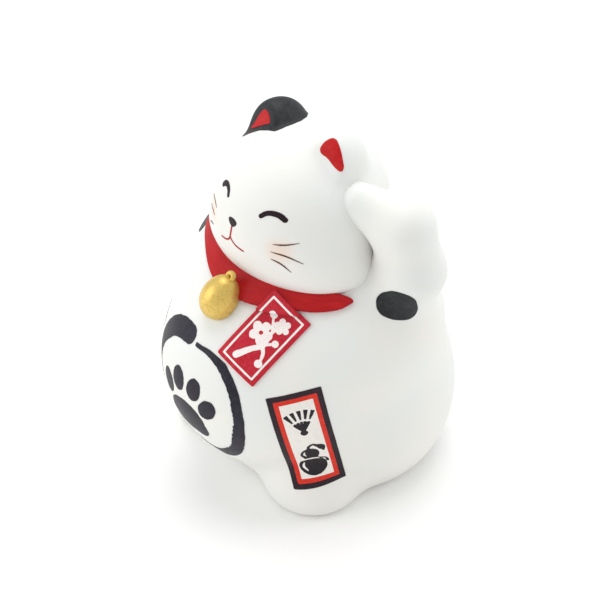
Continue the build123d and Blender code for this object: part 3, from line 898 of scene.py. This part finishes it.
def bell_own(points):
    return (points - BELL_CENTRE) @ BELL_AXES


def bell_form(points):
    own = bell_own(points)
    z = own[..., 2]
    tapered = own * np.stack([1 + BELL_TAPER * z, 1 + BELL_TAPER * z, np.ones_like(z)], -1)
    groove = GROOVE_DEPTH * np.exp(-((z - GROOVE_HEIGHT) / GROOVE_WIDTH) ** 2)
    return egg(tapered, (0, 0, 0), BELL_RADII) + groove


def loop_form(points):
    x, y, z = np.moveaxis(bell_own(points), -1, 0)
    ring = np.hypot(x, z - LOOP_HEIGHT) - LOOP_RADIUS
    return np.hypot(ring, y * 0.8) - LOOP_TUBE


for name, node, form, cell in (("bell", "bell_body", bell_form, 0.35), ("loop", "bell_loop", loop_form, 0.2)):
    low, high = box_of(node)
    vertices, quads = skin(form, low - 1.5, high + 1.5, cell)
    centres = vertices[quads].mean(1)
    vertices, quads = keep_faces(vertices, quads, (body_form(centres) > -0.6) & (head_form(centres) > -0.8))
    declare(piece(name, vertices, quads, slope_of(form, vertices)), "bell_gold", node)
    print(name, len(quads), "faces")

# %% [markdown]
# ## A small language for shader maths
#
# Finishes are node trees, and a node tree is only arithmetic. `Wire` wraps an output socket, so that
# sums, products and limits of sockets read like plain formulas. Every other node goes through one
# method, `node`, which takes the node's type, its settings and the values of its sockets.

# %% Shader language


class Wire:
    """One output socket that can be used in arithmetic."""

    def __init__(self, finish, socket):
        self.finish, self.socket = finish, socket

    def maths(self, operation, *others, swap=False):
        parts = (*others, self) if swap else (self, *others)
        return self.finish.node("ShaderNodeMath", {"operation": operation}, dict(enumerate(parts)))

    def __add__(self, other):
        return self.maths("ADD", other)

    def __radd__(self, other):
        return self.maths("ADD", other, swap=True)

    def __sub__(self, other):
        return self.maths("SUBTRACT", other)

    def __rsub__(self, other):
        return self.maths("SUBTRACT", other, swap=True)

    def __mul__(self, other):
        return self.maths("MULTIPLY", other)

    def __rmul__(self, other):
        return self.maths("MULTIPLY", other, swap=True)

    def __truediv__(self, other):
        return self.maths("DIVIDE", other)

    def __rtruediv__(self, other):
        return self.maths("DIVIDE", other, swap=True)

    def __pow__(self, other):
        return self.maths("POWER", other)

    def ramp(self, low, high):
        """Zero below one value, one above another, and smooth between."""
        return self.finish.node("ShaderNodeMapRange", {"interpolation_type": "SMOOTHSTEP"},
                                {"Value": self, "From Min": low, "From Max": high})


class Finish:
    """One material: a principled surface and the nodes that feed it."""

    def __init__(self, name):
        self.material = bpy.data.materials.new(name)
        self.material.use_nodes = True
        self.tree = self.material.node_tree
        self.surface = self.tree.nodes["Principled BSDF"]
        self.position = self.node("ShaderNodeTexCoord", output="Object")

    def node(self, kind, settings=None, values=None, output=0):
        node = self.tree.nodes.new(kind)
        for key, value in (settings or {}).items():
            setattr(node, key, value)
        for key, value in (values or {}).items():
            self.feed(node.inputs[key], value)
        return Wire(self, node.outputs[output])

    def feed(self, socket, value):
        if isinstance(value, Wire):
            self.tree.links.new(value.socket, socket)
        else:
            socket.default_value = value

    def set(self, **values):
        for key, value in values.items():
            self.feed(self.surface.inputs[key.replace("_", " ")], value)

    def scaled(self, x, y, z):
        """The place on the cat, in millimetres over three sizes."""
        return self.node("ShaderNodeVectorMath", {"operation": "MULTIPLY"},
                         {0: self.position, 1: (1000 / x, 1000 / y, 1000 / z)})

    def noise(self, size, detail=3.0, stretch=(1, 1, 1)):
        """Noise with features of a size in millimetres, longer along the stretched axes."""
        place = self.scaled(*(size * s for s in stretch))
        return self.node("ShaderNodeTexNoise", {}, {"Vector": place, "Scale": 1.0, "Detail": detail})

    def distance(self, point):
        """The distance in millimetres to a place on the cat."""
        return 1000 * self.node("ShaderNodeVectorMath", {"operation": "DISTANCE"},
                                {0: self.position, 1: tuple(float(c) * MM for c in point)}, "Value")

    def mix(self, factor, first, second):
        """One colour into another."""
        return self.node("ShaderNodeMix", {"data_type": "RGBA"}, {0: factor, 6: first, 7: second}, 2)

    def bump(self, height, depth):
        """Relief: a height between 0 and 1 as so many millimetres."""
        return self.node("ShaderNodeBump", {}, {"Height": height, "Distance": depth * MM, "Strength": 1.0})


def srgb(red, green, blue):
    """A colour given as display values from 0 to 255."""
    parts = [c / 255 for c in (red, green, blue)]
    return tuple(c / 12.92 if c < 0.04 else ((c + 0.055) / 1.055) ** 2.4 for c in parts) + (1.0,)


def wear(finish, things):
    for thing in things:
        thing.data.materials.clear()
        thing.data.materials.append(finish.material)


def layers(*nodes):
    return [made[node + "_layer"] for node in nodes]


# %% [markdown]
# ## Matte white
#
# The casting is fired matte white. It is nearly even: a broad drift of warmth where the spray was
# thicker, a fine tooth that breaks up the highlights, and a few pinholes. The cheeks were dusted with
# pink before firing, which is colour in the white and not a layer, so the head's own finish holds it.

# %% White finish
WHITE = srgb(231, 233, 230)
WARM_WHITE = srgb(235, 234, 229)
BLUSH_PINK = srgb(242, 176, 128)
BLUSH_CENTRES = ((14.4, -26.9, 93.2), (-14.4, -26.9, 93.2))


def white_finish(name, blush=False):
    finish = Finish(name)
    drift = finish.noise(26, 2).ramp(0.35, 0.65)
    colour = finish.mix(drift, WHITE, WARM_WHITE)
    if blush:
        for centre in BLUSH_CENTRES:
            speckle = finish.noise(0.7, 2)
            dust = 1 - (finish.distance(from_head(centre)) + (speckle - 0.5) * 2.2).ramp(0.5, 6.2)
            colour = finish.mix(dust * 0.30, colour, BLUSH_PINK)
    tooth = finish.noise(0.55, 4)
    pits = finish.noise(1.5, 0).ramp(0.22, 0.27)
    finish.set(Base_Color=colour, Roughness=0.46 + finish.noise(5, 3) * 0.16,
               Normal=finish.bump(tooth * 0.5 + finish.noise(7, 2) * 1.5 + pits * 0.8, 0.022))
    finish.set(IOR=1.45, Specular_IOR_Level=0.35)
    return finish


wear(white_finish("matte_white"), [made["torso_casting"], made["raised_arm_casting"], made["tail_casting"]])
wear(white_finish("matte_white_blushed", True), [head_casting])

# %% [markdown]
# ## Reds, blacks and gold
#
# The fired colours are one recipe with different numbers: a base colour, a second tone that shows
# where the brush or the screen left it thin, streaks along the stroke, and a faint relief. The gold is
# metallic paint, brushed round the bell, so its streaks also turn the highlight.

# %% Fired colours


def fired(name, colour, thin, roughness=0.42, streak=(1, 1, 1), size=1.6, strength=0.5, relief=0.012):
    finish = Finish(name)
    grain = finish.noise(size, 5, streak)
    patch = finish.noise(size * 5, 2)
    mottle = (grain * 0.65 + patch * 0.35).ramp(0.38, 0.68) * strength
    finish.set(Base_Color=finish.mix(mottle, colour, thin), Roughness=roughness + (grain - 0.5) * 0.25,
               Normal=finish.bump(grain, relief), Specular_IOR_Level=0.22)
    return finish


wear(fired("collar_red", srgb(172, 14, 20), srgb(196, 30, 34), 0.40, (4, 4, 0.5), 1.5, 0.6, 0.02),
     layers("collar_band"))
wear(fired("plaque_red", srgb(184, 26, 44), srgb(206, 58, 72), 0.48, (0.8, 0.8, 2.2), 0.7, 0.6, 0.02),
     layers("charm_tag"))
wear(fired("plaque_white", srgb(246, 240, 236), srgb(236, 214, 212), 0.5, (1, 1, 1), 0.9, 0.5),
     layers("charm_tag_line", "charm_tag_blossom"))
wear(fired("wet_ink", srgb(30, 27, 38), srgb(54, 50, 62), 0.45, (1, 1, 1), 1.3, 0.7),
     layers("belly_ring", "belly_paw_print"))
wear(fired("label_aubergine", srgb(36, 24, 32), srgb(54, 40, 48), 0.5, (1, 1, 1), 0.8, 0.6),
     layers("left_label_outer_frame", "right_label_outer_frame"))
wear(fired("label_orange_red", srgb(212, 40, 26), srgb(224, 72, 50), 0.5, (1, 1, 1), 0.8, 0.6),
     layers("left_label_inner_frame", "right_label_inner_frame"))
wear(fired("label_white", srgb(240, 236, 230), srgb(228, 222, 214), 0.5, (1, 1, 1), 1.2, 0.5),
     layers("left_label_ground", "right_label_ground"))
wear(fired("label_ink", srgb(28, 22, 28), srgb(48, 42, 48), 0.5, (1, 1, 1), 0.7, 0.6),
     layers(*(f"{side}_label_{motif}" for side in ("left", "right") for motif in ("fan", "gourd"))))
wear(fired("face_black", srgb(30, 14, 24), srgb(46, 30, 38), 0.4, (1, 1, 1), 0.6, 0.6),
     layers("left_eye_line", "right_eye_line", "nose"))
wear(fired("mouth_red", srgb(160, 14, 26), srgb(190, 40, 48), 0.45, (1, 1, 1), 0.5, 0.6),
     layers("mouth_line"))
wear(fired("whisker_brown", srgb(84, 52, 38), srgb(128, 94, 78), 0.5, (1, 1, 1), 0.6, 0.8),
     layers("left_whiskers", "right_whiskers"))
wear(fired("ear_red", srgb(182, 14, 20), srgb(204, 40, 40), 0.45, (1, 1, 1), 1.0, 0.6),
     layers("left_ear_lining", "right_ear_lining"))
wear(fired("patch_black", srgb(36, 38, 40), srgb(60, 63, 65), 0.5, (1, 1, 1), 1.4, 0.6),
     layers("right_ear_patch", "arm_spot", "shoulder_spot", "tail_patch"))


def gold_finish():
    finish = Finish("brushed_gold")
    streaks = finish.noise(0.22, 3, (1.0, 1.0, 7.0))
    patches = finish.noise(0.9, 2, (1.0, 1.0, 2.0))
    colour = finish.mix(streaks.ramp(0.2, 0.8), srgb(210, 174, 80), srgb(232, 204, 118))
    colour = finish.mix(patches.ramp(0.5, 0.8) * 0.4, colour, srgb(184, 142, 56))
    finish.set(Base_Color=colour, Metallic=0.6, Roughness=0.34 + streaks * 0.14,
               Normal=finish.bump(streaks * 0.5 + patches * 0.5, 0.012))
    return finish


wear(gold_finish(), [made["bell"], made["loop"]])
print("finishes", len(bpy.data.materials))

# %% [markdown]
# ## Floor and light
#
# The cat stands on a plain pale floor in a bright studio: white light from all round, a broad softbox
# overhead and behind, and two weaker ones, ahead on the cat's right and behind on its left. The crown,
# the brow and the shoulders burn out to white. The chin, the inside of the arm and the floor under the
# belly stay a shade greyer.

# %% Floor and light
FLOOR_HALF = 3.0
SKY_STRENGTH = 0.72
CAT_MIDDLE = (0, 0, 0.07)
# each softbox: its place, what it looks at, its width and its power
SOFTBOXES = {"top": ((-0.30, 0.30, 1.20), (0, 0, 0.06), 1.1, 8.5),
             "front": ((-0.55, -0.85, 0.45), CAT_MIDDLE, 0.8, 3.2),
             "rim": ((0.55, 0.95, 0.55), CAT_MIDDLE, 0.7, 2.0)}


def make_floor():
    """A flat pale sheet, far larger than the view."""
    corners = [(-FLOOR_HALF, -FLOOR_HALF, 0), (FLOOR_HALF, -FLOOR_HALF, 0),
               (FLOOR_HALF, FLOOR_HALF, 0), (-FLOOR_HALF, FLOOR_HALF, 0)]
    mesh = bpy.data.meshes.new("studio_floor")
    mesh.from_pydata(corners, [], [(0, 1, 2, 3)])
    floor = bpy.data.objects.new("studio_floor", mesh)
    bpy.context.scene.collection.objects.link(floor)
    finish = Finish("studio_paper")
    paper = finish.noise(2.0, 3)
    colour = finish.mix(paper, srgb(250, 250, 249), srgb(253, 253, 252))
    finish.set(Base_Color=colour, Roughness=0.8 + paper * 0.1)
    wear(finish, [floor])


def make_lamp(name, place, target, width, power):
    """A round softbox turned towards its target."""
    data = bpy.data.lights.new(name, "AREA")
    data.shape = "DISK"
    data.size = width
    data.energy = power
    lamp = bpy.data.objects.new(name, data)
    bpy.context.scene.collection.objects.link(lamp)
    lamp.location = place
    lamp.rotation_euler = (Vector(place) - Vector(target)).to_track_quat("Z", "Y").to_euler()


def make_world(strength):
    world = bpy.data.worlds.new("studio_light")
    bpy.context.scene.world = world
    world.use_nodes = True
    sky = world.node_tree.nodes["Background"]
    sky.inputs["Color"].default_value = (1.0, 1.0, 1.0, 1.0)
    sky.inputs["Strength"].default_value = strength


make_floor()
make_world(SKY_STRENGTH)
for name, softbox in SOFTBOXES.items():
    make_lamp(name + "_softbox", *softbox)
bpy.context.scene.view_settings.view_transform = "Standard"
print("lamps", len(bpy.data.lights))
